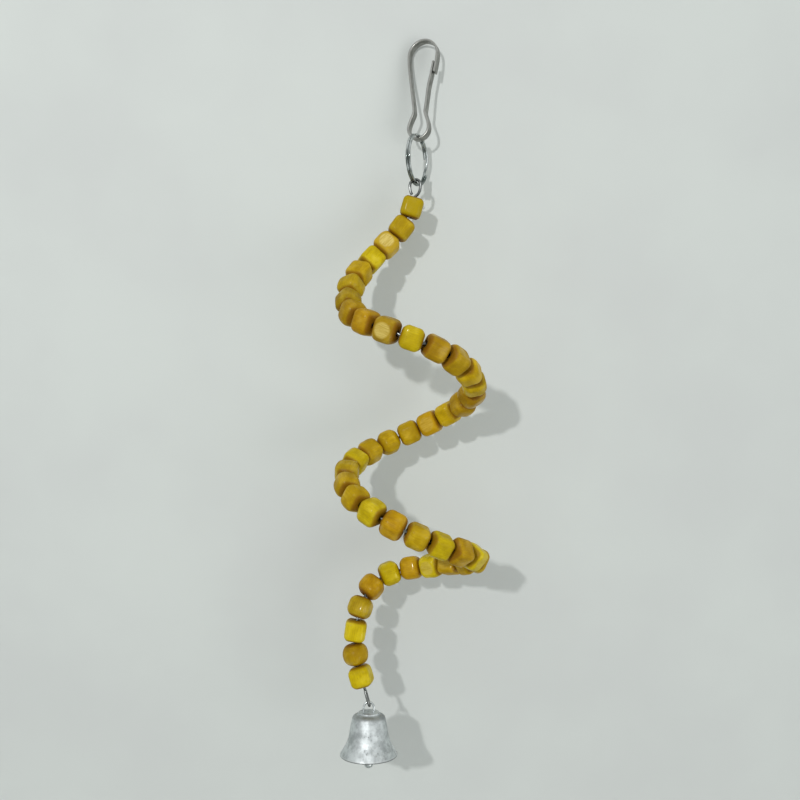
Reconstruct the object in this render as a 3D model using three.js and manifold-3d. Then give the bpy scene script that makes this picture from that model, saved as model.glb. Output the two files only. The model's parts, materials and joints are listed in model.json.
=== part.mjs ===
// Spiral bird perch: a spiral of spring wire strung with square wooden beads. Its upper eye hangs in a split
// ring on a sprung clip of flat steel strip, and a small bell hangs in its lower eye.
// Millimetres, +Z up. The origin is on the clip's hanging seat, the flat inside of its upper bend.
import * as THREE from 'three';
import { mergeVertices } from 'three/addons/utils/BufferGeometryUtils.js';
import Module from 'manifold-3d';

const wasm = await Module();
wasm.setup();

// Clearance between pieces that touch on the real object
const CLEARANCE = 0.3;

// Clip, one strip bent to the outline of a skittle: its left leg is fixed, its right leg is the sprung gate
const STRIP_THICKNESS = 0.9;
const STRIP_WIDTH = 4;
const CLIP_INNER_HEIGHT = 45;
const CLIP_TOP_RADIUS = 6.8;
const CLIP_WAIST_HALF_WIDTH = 2.65;
const CLIP_WAIST_DROP = 33;
const CLIP_BULB_RADIUS = 4.8;
const CLIP_TIP_DROP = 15.3;
const GATE_END_DROP = 9.6;
const LEG_BEND = 7;
const WAIST_BEND = 3;
const CLIP_TURN = -24;

// Split ring, two flat turns of round wire with one climb between them
const RING_INNER_RADIUS = 10.5;
const RING_WIRE = 1.1;
const RING_TURN_GAP = 0.45;
const RING_CLIMB = 40;

// Spiral wire: a coil of hand-bent turns, with a straight lead above it and a straight tail below
const WIRE = 1.3;
const COIL_RADIUS = 27;
const LEAD_TURN = 107;
const LEAD_DROP = 47.7;
const LEAD_BEND_TURN = 4.5;
const LEAD_BEND_DROP = 15;
const QUARTER_TURN_DROPS = [14.7, 22.4, 21.7, 15.6, 18.4, 17.3, 10.6];
const LAST_BEND_REACHES = [3, 0.5, -3];
const LAST_BEND_SPREAD = 0.33;
const TAIL_TURN = 40;
const TAIL_BEND_DROP = 8;
const TAIL_BEND_LENGTH = 23;
const TAIL_STRAIGHT = 60;
const TAIL_DRAW_IN = 24;
const UPPER_EYE_WIDTH = 5.2;
const UPPER_EYE_HEIGHT = 7.4;
const LOWER_EYE_WIDTH = 3.4;
const LOWER_EYE_HEIGHT = 7.9;
const EYE_FLARE = 30;
const EYE_OPENING = 36;

// Beads: cut cubes of dyed wood, threaded along their length
const BEAD_COUNT = 43;
const BEAD_PITCH = 10.6;
const BEAD_WIDTH = 9.4;
const BEAD_LENGTH = 9;
const BEAD_CORNER_CUT = 1.7;
const BEAD_EDGE_RADIUS = 2.2;
const BEAD_BORE = 2.7;
const BEAD_MASS = 0.6;

// Bell: a flared shell with a stepped cap, a wire staple through the cap and a pear-shaped clapper on a link
const BELL_RIM_RADIUS = 12.4;
const BELL_FLARE_HEIGHT = 3.8;
const BELL_WAIST_RADIUS = 8.6;
const BELL_WAIST_HEIGHT = 7.7;
const BELL_TAPER_HEIGHT = 12.5;
const BELL_SHOULDER_RADIUS = 6.8;
const BELL_SHOULDER_HEIGHT = 16;
const BELL_CAP_RADIUS = 4.6;
const BELL_CAP_STEP = 0.8;
const BELL_WALL = 0.7;
const BELL_MASS = 9;
const BELL_LEAN = 3.7;
const STAPLE_WIRE = 1;
const STAPLE_WIDTH = 4.6;
const STAPLE_RISE = 4.2;
const STAPLE_DEPTH = 3.3;
const CLAPPER_WIRE = 0.8;
const CLAPPER_EYE_DIAMETER = 2.8;
const CLAPPER_STEM = 11;
const CLAPPER_SOCKET_DEPTH = 2;
const CLAPPER_LENGTH = 9;
const CLAPPER_RADIUS = 2.1;
const CLAPPER_WIDEST_HEIGHT = 2.7;
const CLAPPER_TIP_RADIUS = 1.7;
const CLAPPER_TIP_HEIGHT = 0.9;
const CLAPPER_NECK_HEIGHT = 6.3;
const CLAPPER_LIP = 0.35;

// Facets of the curves
const WIRE_SIDES = 6;
const TOP_FACETS = 9;
const BULB_FACETS = 12;
const WAIST_FACETS = 6;
const LEG_FACETS = 10;
const RING_STEPS = 46;
const GAP_STEPS = 900;
const BEND_STEPS = 5;
const STEPS_PER_BEAD = 3;
const EYE_STEPS = 14;
const BEAD_EDGE_STEPS = 2;
const BORE_SIDES = 8;
const BELL_SEGMENTS = 24;
const BELL_STEPS = 10;
const STAPLE_BEND_STEPS = 8;
const CLAPPER_SEGMENTS = 16;
const CLAPPER_STEPS = 12;

// Finishes
const STRIP_STEEL = '#8c8c87';
const RING_STEEL = '#9aa0a0';
const WIRE_STEEL = '#8a8a86';
const BELL_METAL = '#b9bcbd';
const CLAPPER_METAL = '#a5a8a8';
const DYES = {
  lemon: '#c9b41b',
  ochre: '#b8901c',
  mustard: '#bd9a1a',
  amber: '#b98a16',
  olive: '#a8921c',
  pale: '#d8c06a',
};
const BEAD_DYES = [
  'lemon', 'olive', 'pale', 'lemon', 'ochre', 'olive', 'olive', 'ochre', 'amber', 'pale', 'lemon',
  'ochre', 'ochre', 'ochre', 'olive', 'ochre', 'ochre', 'mustard', 'amber', 'mustard', 'mustard', 'mustard',
  'lemon', 'olive', 'mustard', 'mustard', 'lemon', 'amber', 'mustard', 'lemon', 'ochre', 'lemon', 'mustard',
  'ochre', 'ochre', 'lemon', 'amber', 'lemon', 'amber', 'olive', 'lemon', 'ochre', 'lemon',
];

// How far each bead is turned on the wire, in degrees, from one of its sides being flat to the front
const BEAD_SPINS = [
  0, 0, 15, 0, 35, 45, 45, 30, 12, 10, 0,
  8, 25, 30, 5, 40, 45, 10, 8, 5, 20, 35,
  30, 20, 40, 15, 20, 40, 5, 10, 35, 0, 20,
  10, 30, 5, 20, 5, 30, 25, 0, 45, 10,
];

const deg = THREE.MathUtils.degToRad;
const UP = new THREE.Vector3(0, 0, 1);
const FRONT = new THREE.Vector3(0, -1, 0);

function metal(color, roughness) {
  return new THREE.MeshStandardMaterial({ color, roughness, metalness: 1 });
}

function dyedWood(color) {
  return new THREE.MeshStandardMaterial({ color, roughness: 0.6, metalness: 0 });
}

function namedMesh(name, geometry, material) {
  const mesh = new THREE.Mesh(geometry, material);
  mesh.name = name;
  return mesh;
}

// A closed round tube along a list of points, with flat ends
function tube(points, diameter) {
  const sides = WIRE_SIDES;
  const tangents = points.map((point, i) => {
    const before = points[Math.max(i - 1, 0)];
    const after = points[Math.min(i + 1, points.length - 1)];
    return after.clone().sub(before).normalize();
  });
  const side = new THREE.Vector3().crossVectors(tangents[0], UP);
  if (side.lengthSq() < 0.01) side.set(1, 0, 0);
  const positions = [];
  points.forEach((point, i) => {
    side.addScaledVector(tangents[i], -side.dot(tangents[i])).normalize();
    const other = new THREE.Vector3().crossVectors(tangents[i], side);
    for (let k = 0; k < sides; k++) {
      const angle = (2 * Math.PI * k) / sides;
      const corner = point.clone();
      corner.addScaledVector(side, (Math.cos(angle) * diameter) / 2);
      corner.addScaledVector(other, (Math.sin(angle) * diameter) / 2);
      positions.push(...corner.toArray());
    }
  });
  const faces = [];
  for (let i = 0; i + 1 < points.length; i++) {
    for (let k = 0; k < sides; k++) {
      const a = i * sides + k;
      const b = i * sides + ((k + 1) % sides);
      faces.push(a, b, b + sides, a, b + sides, a + sides);
    }
  }
  const last = (points.length - 1) * sides;
  for (let k = 1; k + 1 < sides; k++) {
    faces.push(0, k + 1, k);
    faces.push(last, last + k, last + k + 1);
  }
  const geometry = new THREE.BufferGeometry();
  geometry.setAttribute('position', new THREE.Float32BufferAttribute(positions, 3));
  geometry.setIndex(faces);
  geometry.computeVertexNormals();
  return geometry;
}

// A turned solid on the Z axis
function turned(line, segments) {
  return new THREE.LatheGeometry(line, segments).rotateX(Math.PI / 2);
}

// A geometry as a solid for cutting, with its shared corners merged and its empty triangles dropped
function solidOf(geometry) {
  const bare = geometry.clone();
  bare.deleteAttribute('normal');
  bare.deleteAttribute('uv');
  const merged = mergeVertices(bare);
  const corners = merged.index.array;
  const triangles = [];
  for (let i = 0; i < corners.length; i += 3) {
    const [a, b, c] = corners.slice(i, i + 3);
    if (a !== b && b !== c && c !== a) triangles.push(a, b, c);
  }
  const mesh = new wasm.Mesh({
    numProp: 3,
    vertProperties: merged.attributes.position.array,
    triVerts: Uint32Array.from(triangles),
  });
  return new wasm.Manifold(mesh);
}

function geometryOf(solid) {
  const { vertProperties, triVerts } = solid.getMesh();
  const geometry = new THREE.BufferGeometry();
  geometry.setAttribute('position', new THREE.Float32BufferAttribute(vertProperties, 3));
  geometry.setIndex(Array.from(triVerts));
  geometry.computeVertexNormals();
  return geometry;
}

// The least clear distance of a wound wire to itself, leaving out what lies within a few diameters along it
function leastGap(points, diameter) {
  const neighbourhood = 4 * diameter;
  const along = [0];
  for (let i = 1; i < points.length; i++) along.push(along[i - 1] + points[i].distanceTo(points[i - 1]));
  let least = Infinity;
  for (let i = 0; i < points.length; i++) {
    for (let j = i + 1; j < points.length; j++) {
      if (along[j] - along[i] < neighbourhood) continue;
      least = Math.min(least, points[i].distanceTo(points[j]) - diameter);
    }
  }
  return least;
}

// Clip: its middle line in its own plane, x to the right and y up, with the seat at the origin
const topFacet = Math.PI / TOP_FACETS;
const clipTopY = STRIP_THICKNESS / 2 - CLIP_TOP_RADIUS * Math.cos(topFacet / 2);
const clipWaistY = -CLIP_WAIST_DROP;
const clipBulbY = -CLIP_INNER_HEIGHT - STRIP_THICKNESS / 2 + CLIP_BULB_RADIUS;

function arcPoints(centreY, radius, from, to, count) {
  return Array.from({ length: count + 1 }, (_, i) => {
    const angle = THREE.MathUtils.lerp(from, to, i / count);
    return new THREE.Vector2(radius * Math.cos(angle), centreY + radius * Math.sin(angle));
  });
}

function bendPoints(from, fromHandle, to, toHandle, count) {
  const curve = new THREE.CubicBezierCurve(
    from,
    new THREE.Vector2(from.x, from.y + fromHandle),
    new THREE.Vector2(to.x, to.y + toHandle),
    to,
  );
  return curve.getPoints(count);
}

const mirrored = (points) => points.map((p) => new THREE.Vector2(-p.x, p.y));
const rightBulb = new THREE.Vector2(CLIP_BULB_RADIUS, clipBulbY);
const rightWaist = new THREE.Vector2(CLIP_WAIST_HALF_WIDTH, clipWaistY);
const rightTop = new THREE.Vector2(CLIP_TOP_RADIUS, clipTopY);
const bulbToWaist = bendPoints(rightBulb, WAIST_BEND, rightWaist, -WAIST_BEND / 2, WAIST_FACETS);
const waistToTop = bendPoints(rightWaist, WAIST_BEND, rightTop, -LEG_BEND, LEG_FACETS);

// The part of a line of rising points that lies above a height, cut square to the height
function above(points, height) {
  const first = points.findIndex((p) => p.y > height);
  const share = (height - points[first - 1].y) / (points[first].y - points[first - 1].y);
  return [points[first - 1].clone().lerp(points[first], share), ...points.slice(first)];
}

// A strip of even thickness on both sides of its middle line, as wide as the strip, in the clip's plane
function strip(line) {
  const normals = line.map((point, i) => {
    const before = line[Math.max(i - 1, 0)].clone();
    const after = line[Math.min(i + 1, line.length - 1)].clone();
    const into = i > 0 ? point.clone().sub(before).normalize() : after.clone().sub(point).normalize();
    const out = i + 1 < line.length ? after.clone().sub(point).normalize() : into.clone();
    const middle = into.clone().add(out).normalize();
    return new THREE.Vector2(-middle.y, middle.x).divideScalar(middle.dot(into));
  });
  const offset = (by) => line.map((p, i) => p.clone().addScaledVector(normals[i], by));
  const shape = new THREE.Shape([...offset(STRIP_THICKNESS / 2), ...offset(-STRIP_THICKNESS / 2).reverse()]);
  const geometry = new THREE.ExtrudeGeometry(shape, { depth: STRIP_WIDTH, bevelEnabled: false });
  geometry.translate(0, 0, -STRIP_WIDTH / 2);
  geometry.rotateX(Math.PI / 2);
  return geometry;
}

const fixedTip = above(waistToTop, -CLIP_TIP_DROP).reverse();
const frameLine = [
  ...arcPoints(clipBulbY, CLIP_BULB_RADIUS, 0, -Math.PI, BULB_FACETS),
  ...mirrored(bulbToWaist).slice(1),
  ...mirrored(waistToTop).slice(1),
  ...arcPoints(clipTopY, CLIP_TOP_RADIUS, Math.PI, 0, TOP_FACETS).slice(1),
  ...fixedTip.slice(1),
];

// The gate starts just above the bulb's end, and moves in from the leg's line so that it lies inside the tip
const gateInset = STRIP_THICKNESS + CLEARANCE;
const gateLeg = waistToTop.map((p) => {
  const rise = THREE.MathUtils.smoothstep(p.y, clipWaistY, -CLIP_TIP_DROP - LEG_BEND / 2);
  return new THREE.Vector2(p.x - gateInset * rise, p.y);
});
const gateEnd = above(gateLeg.map((p) => new THREE.Vector2(p.x, -p.y)).reverse(), GATE_END_DROP);
const gateLine = [
  ...above(bulbToWaist, clipBulbY + CLEARANCE),
  ...gateEnd.map((p) => new THREE.Vector2(p.x, -p.y)).reverse().slice(1),
];

const clip = new THREE.Group();
clip.rotation.z = deg(CLIP_TURN);
clip.add(namedMesh('hook_frame', strip(frameLine), metal(STRIP_STEEL, 0.35)));
clip.add(namedMesh('hook_gate', strip(gateLine), metal(STRIP_STEEL, 0.35)));

// Split ring: it hangs on the strip's edges, square to the clip's plane
const ringRadius = RING_INNER_RADIUS + RING_WIRE / 2;
const ringPitch = RING_WIRE + RING_TURN_GAP;
const edgeDip = RING_INNER_RADIUS - Math.hypot(RING_INNER_RADIUS, STRIP_WIDTH / 2);
const bulbInside = CLIP_BULB_RADIUS - STRIP_THICKNESS / 2;
const bulbRise = bulbInside - Math.sqrt(bulbInside ** 2 - (ringPitch / 2) ** 2);
const ringTopZ = -CLIP_INNER_HEIGHT - edgeDip + bulbRise + CLEARANCE;
const ringCentreZ = ringTopZ - RING_INNER_RADIUS;
const ringPoints = (steps) => Array.from({ length: steps + 1 }, (_, i) => {
  const angle = THREE.MathUtils.lerp(RING_CLIMB / 2, 720 - RING_CLIMB / 2, i / steps);
  const climb = THREE.MathUtils.smoothstep(angle, 360 - RING_CLIMB / 2, 360 + RING_CLIMB / 2);
  const across = ringPitch * (climb - 0.5);
  const turn = deg(angle);
  return new THREE.Vector3(across, ringRadius * Math.cos(turn), ringRadius * Math.sin(turn));
});
const splitRing = namedMesh('split_ring', tube(ringPoints(RING_STEPS), RING_WIRE), metal(RING_STEEL, 0.18));
splitRing.position.z = ringCentreZ;
clip.add(splitRing);

const flatPoint = (turn, height) => new THREE.Vector2(deg(turn) * COIL_RADIUS, height);

// Spiral: its line is drawn on the unrolled cylinder, x along the turn, y the radius and z up, then rolled up
class RolledLine extends THREE.Curve {
  constructor(flat) {
    super();
    this.flat = flat;
    this.arcLengthDivisions = 3000;
  }

  getPoint(t, target = new THREE.Vector3()) {
    const { x, y, z } = this.flat.getPoint(t);
    const turn = x / COIL_RADIUS;
    return target.set(-y * Math.sin(turn), y * Math.cos(turn), z);
  }
}

// The line starts at the first bead's upper end and passes that bead's centre at turn 0 and height 0
const beadEnd = BEAD_LENGTH / 2 + CLEARANCE;
const quarterTurns = [flatPoint(LEAD_TURN, -LEAD_DROP)];
QUARTER_TURN_DROPS.forEach((drop, i) => {
  quarterTurns.push(flatPoint(LEAD_TURN + 90 * (i + 1), quarterTurns[i].y - drop));
});
const leadStart = flatPoint(0, 0);
const leadCorner = flatPoint(LEAD_BEND_TURN, -LEAD_BEND_DROP);
const lastQuarter = quarterTurns.at(-1);
const tailTurn = LEAD_TURN + 90 * QUARTER_TURN_DROPS.length + TAIL_TURN;
const tailCorner = flatPoint(tailTurn, lastQuarter.y - TAIL_BEND_DROP);
const tailTop = flatPoint(tailTurn, tailCorner.y - TAIL_BEND_LENGTH);
const leadBend = new THREE.QuadraticBezierCurve(leadStart, leadCorner, quarterTurns[0]).getPoints(BEND_STEPS);
const tailBend = new THREE.QuadraticBezierCurve(lastQuarter, tailCorner, tailTop).getPoints(BEND_STEPS);
const leadTop = leadStart.clone().sub(leadCorner).setLength(beadEnd);
// The last bend on the right is tighter than the others: it runs wide before the coil's side, then draws in
const lastSide = quarterTurns.at(-2);
const lastBend = [
  lastSide.clone().lerp(quarterTurns.at(-3), LAST_BEND_SPREAD),
  lastSide,
  lastSide.clone().lerp(lastQuarter, LAST_BEND_SPREAD),
];
const flatLine = [leadTop, ...leadBend, ...quarterTurns.slice(1, -2), ...lastBend, ...tailBend];
const stations = flatLine.map((p) => {
  const reach = LAST_BEND_REACHES[lastBend.indexOf(p)] ?? 0;
  return new THREE.Vector3(p.x, COIL_RADIUS + reach, p.y);
});
stations.push(new THREE.Vector3(tailTop.x, COIL_RADIUS - TAIL_DRAW_IN, tailTop.y - TAIL_STRAIGHT));
const spiralLine = new RolledLine(new THREE.CatmullRomCurve3(stations));
const spiralLength = spiralLine.getLength();
const pointAlong = (s) => spiralLine.getPointAt(s / spiralLength);
const directionAlong = (s) => spiralLine.getTangentAt(s / spiralLength);
const beadAlong = (i) => beadEnd + i * BEAD_PITCH;
const wireEnd = beadAlong(BEAD_COUNT - 1) + beadEnd;

// An eye at a wire's end, in the plane of the wire and the side direction: half an oval from the neck out to
// its widest place, then half a circle
function eyePoints(neck, outward, side, width, height) {
  const widest = height - width / 2;
  return Array.from({ length: EYE_STEPS }, (_, i) => {
    const angle = THREE.MathUtils.lerp(deg(EYE_FLARE), deg(360 - EYE_OPENING), i / (EYE_STEPS - 1));
    const reach = Math.cos(angle) > 0 ? widest : width / 2;
    const point = neck.clone();
    point.addScaledVector(outward, CLEARANCE + widest - reach * Math.cos(angle));
    return point.addScaledVector(side, (width / 2) * Math.sin(angle));
  });
}

const upperNeck = pointAlong(0);
const upperOutward = directionAlong(0).negate();
const upperSide = new THREE.Vector3(Math.cos(deg(CLIP_TURN)), Math.sin(deg(CLIP_TURN)), 0);
const lowerNeck = pointAlong(wireEnd);
const lowerOutward = directionAlong(wireEnd);
const lowerSide = new THREE.Vector3(0, 1, 0);
lowerSide.addScaledVector(lowerOutward, -lowerSide.dot(lowerOutward)).normalize();
const wireSteps = BEAD_COUNT * STEPS_PER_BEAD;
const wirePoints = [
  ...eyePoints(upperNeck, upperOutward, upperSide, UPPER_EYE_WIDTH, UPPER_EYE_HEIGHT).reverse(),
  ...Array.from({ length: wireSteps + 1 }, (_, i) => pointAlong((wireEnd * i) / wireSteps)),
  ...eyePoints(lowerNeck, lowerOutward, lowerSide, LOWER_EYE_WIDTH, LOWER_EYE_HEIGHT),
];
console.log(`spiral_wire least gap to itself ${leastGap(wirePoints, WIRE).toFixed(2)} mm`);
const ringGap = leastGap(ringPoints(GAP_STEPS), RING_WIRE);
console.log(`split_ring least gap to itself ${ringGap.toFixed(2)} mm`);

// Bead: a cube with rounded edges, a skin over outlines that draw in to both ends, drilled along its length
function beadGeometry() {
  const half = BEAD_WIDTH / 2;
  const flat = half - BEAD_CORNER_CUT;
  const corner = [new THREE.Vector2(half, -flat), new THREE.Vector2(half, flat)];
  const quarters = [0, 1, 2, 3].map((quarter) => (quarter * Math.PI) / 2);
  const middle = new THREE.Vector2();
  const outline = quarters.flatMap((angle) => corner.map((p) => p.clone().rotateAround(middle, angle)));
  const sides = outline.length;
  const upper = Array.from({ length: BEAD_EDGE_STEPS + 1 }, (_, i) => {
    const angle = ((i / BEAD_EDGE_STEPS) * Math.PI) / 2;
    const drawnIn = 1 - (BEAD_EDGE_RADIUS * (1 - Math.cos(angle))) / half;
    const height = BEAD_LENGTH / 2 - BEAD_EDGE_RADIUS * (1 - Math.sin(angle));
    return outline.map((p) => new THREE.Vector3(p.x * drawnIn, p.y * drawnIn, height));
  });
  const lower = upper.map((ring) => ring.map((p) => new THREE.Vector3(p.x, p.y, -p.z))).reverse();
  const corners = [...lower, ...upper].flat();
  const faces = [];
  for (let i = 0; i < corners.length - sides; i++) {
    const level = Math.floor(i / sides);
    const next = level * sides + ((i + 1) % sides);
    // The split of each face is mirrored above and below the middle, and takes turns round it
    const rising = level < BEAD_EDGE_STEPS || (level === BEAD_EDGE_STEPS && i % 2 === 1);
    if (rising) faces.push(i, next, next + sides, i, next + sides, i + sides);
    else faces.push(i, next, i + sides, next, next + sides, i + sides);
  }
  const last = corners.length - sides;
  for (let k = 1; k + 1 < sides; k++) {
    faces.push(0, k + 1, k);
    faces.push(last, last + k, last + k + 1);
  }
  const cube = new THREE.BufferGeometry().setFromPoints(corners);
  cube.setIndex(faces);
  const drill = new THREE.CylinderGeometry(BEAD_BORE / 2, BEAD_BORE / 2, 2 * BEAD_LENGTH, BORE_SIDES);
  drill.rotateX(Math.PI / 2);
  return geometryOf(solidOf(cube).subtract(solidOf(drill)));
}

// A bead's own axes: its side to the front, square to the wire, and its length along the wire
function beadAxes(along) {
  const across = new THREE.Vector3().crossVectors(along, FRONT).normalize();
  const front = new THREE.Vector3().crossVectors(across, along);
  return new THREE.Matrix4().makeBasis(front, across, along);
}

const spiral = new THREE.Group();
spiral.add(namedMesh('spiral_wire', tube(wirePoints, WIRE), metal(WIRE_STEEL, 0.3)));
const bead = beadGeometry();
for (let i = 0; i < BEAD_COUNT; i++) {
  const name = `bead_${String(i + 1).padStart(2, '0')}`;
  const mesh = namedMesh(name, bead, dyedWood(DYES[BEAD_DYES[i % BEAD_DYES.length]]));
  mesh.position.copy(pointAlong(beadAlong(i)));
  mesh.quaternion.setFromRotationMatrix(beadAxes(directionAlong(beadAlong(i))));
  mesh.rotateZ(deg(BEAD_SPINS[i % BEAD_SPINS.length]));
  spiral.add(mesh);
}

// The spiral hangs on the ring's two turns, with the weight of its beads and bell straight under the ring
const ringReach = (UPPER_EYE_WIDTH - WIRE - RING_WIRE) / 2 - CLEARANCE;
const ringRise = Math.sqrt(Math.max(ringReach ** 2 - (ringPitch / 2) ** 2, 0));
const eyeCentre = CLEARANCE + UPPER_EYE_HEIGHT - UPPER_EYE_WIDTH / 2;
const hangPoint = upperNeck.clone().addScaledVector(upperOutward, eyeCentre + ringRise);
const lowerEyeBottom = lowerNeck.clone().addScaledVector(lowerOutward, CLEARANCE + LOWER_EYE_HEIGHT);
const weightCentre = lowerEyeBottom.clone().multiplyScalar(BELL_MASS);
for (let i = 0; i < BEAD_COUNT; i++) weightCentre.addScaledVector(pointAlong(beadAlong(i)), BEAD_MASS);
weightCentre.divideScalar(BELL_MASS + BEAD_COUNT * BEAD_MASS);
const hangDirection = weightCentre.sub(hangPoint).normalize();
spiral.quaternion.setFromUnitVectors(hangDirection, UP.clone().negate());
spiral.position.set(0, 0, ringCentreZ - ringRadius).sub(hangPoint.clone().applyQuaternion(spiral.quaternion));

// Bell: the shell's line from the cap's underside down to the rim, and up again one wall outside it
const capTopZ = BELL_SHOULDER_HEIGHT + BELL_SHOULDER_RADIUS - BELL_CAP_RADIUS;
const shoulderTopZ = capTopZ - BELL_CAP_STEP;
const flare = new THREE.SplineCurve([
  new THREE.Vector2(BELL_RIM_RADIUS, 0),
  new THREE.Vector2((BELL_RIM_RADIUS + BELL_WAIST_RADIUS) / 2, BELL_FLARE_HEIGHT),
  new THREE.Vector2(BELL_WAIST_RADIUS, BELL_WAIST_HEIGHT),
  new THREE.Vector2((BELL_WAIST_RADIUS + BELL_SHOULDER_RADIUS) / 2, BELL_TAPER_HEIGHT),
  new THREE.Vector2(BELL_SHOULDER_RADIUS, BELL_SHOULDER_HEIGHT),
]).getPoints(BELL_STEPS);
const capInside = BELL_CAP_RADIUS - BELL_WALL;
const bellLine = [
  new THREE.Vector2(0, capTopZ - BELL_WALL),
  new THREE.Vector2(capInside, capTopZ - BELL_WALL),
  new THREE.Vector2(capInside, shoulderTopZ - BELL_WALL),
  ...flare.map((p) => new THREE.Vector2(p.x - BELL_WALL, p.y)).reverse(),
  ...flare,
  new THREE.Vector2(BELL_CAP_RADIUS, shoulderTopZ),
  new THREE.Vector2(BELL_CAP_RADIUS, capTopZ),
  new THREE.Vector2(0, capTopZ),
];

// The cap has one hole for each leg of the staple
const legX = STAPLE_WIDTH / 2;
const holeRadius = STAPLE_WIRE / 2 + CLEARANCE;
let shell = solidOf(turned(bellLine, BELL_SEGMENTS));
for (const x of [-legX, legX]) {
  const drill = new THREE.CylinderGeometry(holeRadius, holeRadius, 4 * BELL_WALL, BORE_SIDES);
  drill.rotateX(Math.PI / 2).translate(x, 0, capTopZ - BELL_WALL / 2);
  shell = shell.subtract(solidOf(drill));
}

// Staple: a link of wire round through both holes, whose ends meet on its left leg under the cap
const stapleTopZ = capTopZ + STAPLE_RISE;
const stapleBottomZ = capTopZ - BELL_WALL - STAPLE_DEPTH;
const jointZ = stapleBottomZ + legX;
const inBellPlane = (p) => new THREE.Vector3(p.x, 0, p.y);
const staplePoints = [
  ...arcPoints(stapleBottomZ + legX, legX, Math.PI, 2 * Math.PI, STAPLE_BEND_STEPS),
  ...arcPoints(stapleTopZ - legX, legX, 0, Math.PI, STAPLE_BEND_STEPS),
  new THREE.Vector2(-legX, jointZ + CLEARANCE),
].map(inBellPlane);

// Clapper: a link that hangs on the staple's lower bend, with a pear-shaped weight on its stem
const clapperEyeTopZ = stapleBottomZ + (STAPLE_WIRE + CLAPPER_WIRE) / 2 + CLEARANCE;
const clapperNeck = new THREE.Vector3(0, 0, clapperEyeTopZ - CLAPPER_EYE_DIAMETER - CLEARANCE);
const stemEnd = clapperNeck.clone().setZ(clapperNeck.z - CLAPPER_STEM);
const acrossStaple = new THREE.Vector3(0, 1, 0);
const clapperEye = eyePoints(clapperNeck, UP, acrossStaple, CLAPPER_EYE_DIAMETER, CLAPPER_EYE_DIAMETER);
const clapperPoints = [...clapperEye.reverse(), clapperNeck, stemEnd];
const weightTopZ = stemEnd.z - CLEARANCE + CLAPPER_SOCKET_DEPTH;
const weightBottomZ = weightTopZ - CLAPPER_LENGTH;
const socketRadius = CLAPPER_WIRE / 2 + CLEARANCE;
const pear = new THREE.SplineCurve([
  new THREE.Vector2(0, weightBottomZ),
  new THREE.Vector2(CLAPPER_TIP_RADIUS, weightBottomZ + CLAPPER_TIP_HEIGHT),
  new THREE.Vector2(CLAPPER_RADIUS, weightBottomZ + CLAPPER_WIDEST_HEIGHT),
  new THREE.Vector2((CLAPPER_RADIUS + socketRadius) / 2, weightBottomZ + CLAPPER_NECK_HEIGHT),
  new THREE.Vector2(socketRadius + CLAPPER_LIP, weightTopZ),
]).getPoints(CLAPPER_STEPS);
const weightLine = [
  ...pear,
  new THREE.Vector2(socketRadius, weightTopZ),
  new THREE.Vector2(socketRadius, weightTopZ - CLAPPER_SOCKET_DEPTH),
  new THREE.Vector2(0, weightTopZ - CLAPPER_SOCKET_DEPTH),
];

const bell = new THREE.Group();
bell.add(namedMesh('bell_shell', geometryOf(shell), metal(BELL_METAL, 0.35)));
bell.add(namedMesh('bell_staple', tube(staplePoints, STAPLE_WIRE), metal(CLAPPER_METAL, 0.3)));
bell.add(namedMesh('clapper_link', tube(clapperPoints, CLAPPER_WIRE), metal(CLAPPER_METAL, 0.3)));
bell.add(namedMesh('clapper_weight', turned(weightLine, CLAPPER_SEGMENTS), metal(BELL_METAL, 0.35)));

// The bell hangs by its staple on the lower bend of the spiral's lower eye
const crown = lowerEyeBottom.clone().addScaledVector(lowerOutward, -(WIRE + STAPLE_WIRE) / 2 - CLEARANCE);
spiral.updateMatrix();
bell.rotation.y = -deg(BELL_LEAN);
bell.position.copy(crown.applyMatrix4(spiral.matrix));
bell.position.sub(new THREE.Vector3(0, 0, stapleTopZ).applyEuler(bell.rotation));

const group = new THREE.Group();
group.add(clip, spiral, bell);

export default group;
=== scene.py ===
import json
import math
import random

import bpy
import numpy as np
from mathutils import Matrix, Vector


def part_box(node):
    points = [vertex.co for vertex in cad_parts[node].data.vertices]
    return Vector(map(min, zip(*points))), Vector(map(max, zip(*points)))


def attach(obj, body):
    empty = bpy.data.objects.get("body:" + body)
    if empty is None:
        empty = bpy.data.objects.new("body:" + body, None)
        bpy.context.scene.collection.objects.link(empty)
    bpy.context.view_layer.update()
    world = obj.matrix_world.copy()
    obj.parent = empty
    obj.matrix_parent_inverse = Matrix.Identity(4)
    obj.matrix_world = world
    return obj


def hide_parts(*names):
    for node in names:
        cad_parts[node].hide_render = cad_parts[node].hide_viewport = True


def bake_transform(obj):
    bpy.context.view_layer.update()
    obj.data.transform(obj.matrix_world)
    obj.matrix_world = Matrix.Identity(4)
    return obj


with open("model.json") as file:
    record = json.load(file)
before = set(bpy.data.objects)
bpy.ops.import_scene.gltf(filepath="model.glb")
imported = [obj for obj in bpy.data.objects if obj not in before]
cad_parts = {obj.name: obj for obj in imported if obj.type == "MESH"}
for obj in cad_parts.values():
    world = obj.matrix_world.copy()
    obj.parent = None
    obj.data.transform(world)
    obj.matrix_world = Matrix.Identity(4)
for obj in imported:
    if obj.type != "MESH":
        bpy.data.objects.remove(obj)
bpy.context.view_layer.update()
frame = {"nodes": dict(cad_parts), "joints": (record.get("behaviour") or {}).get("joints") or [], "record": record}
MM = 0.001
SHARP_ANGLE = math.radians(35)

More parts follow.
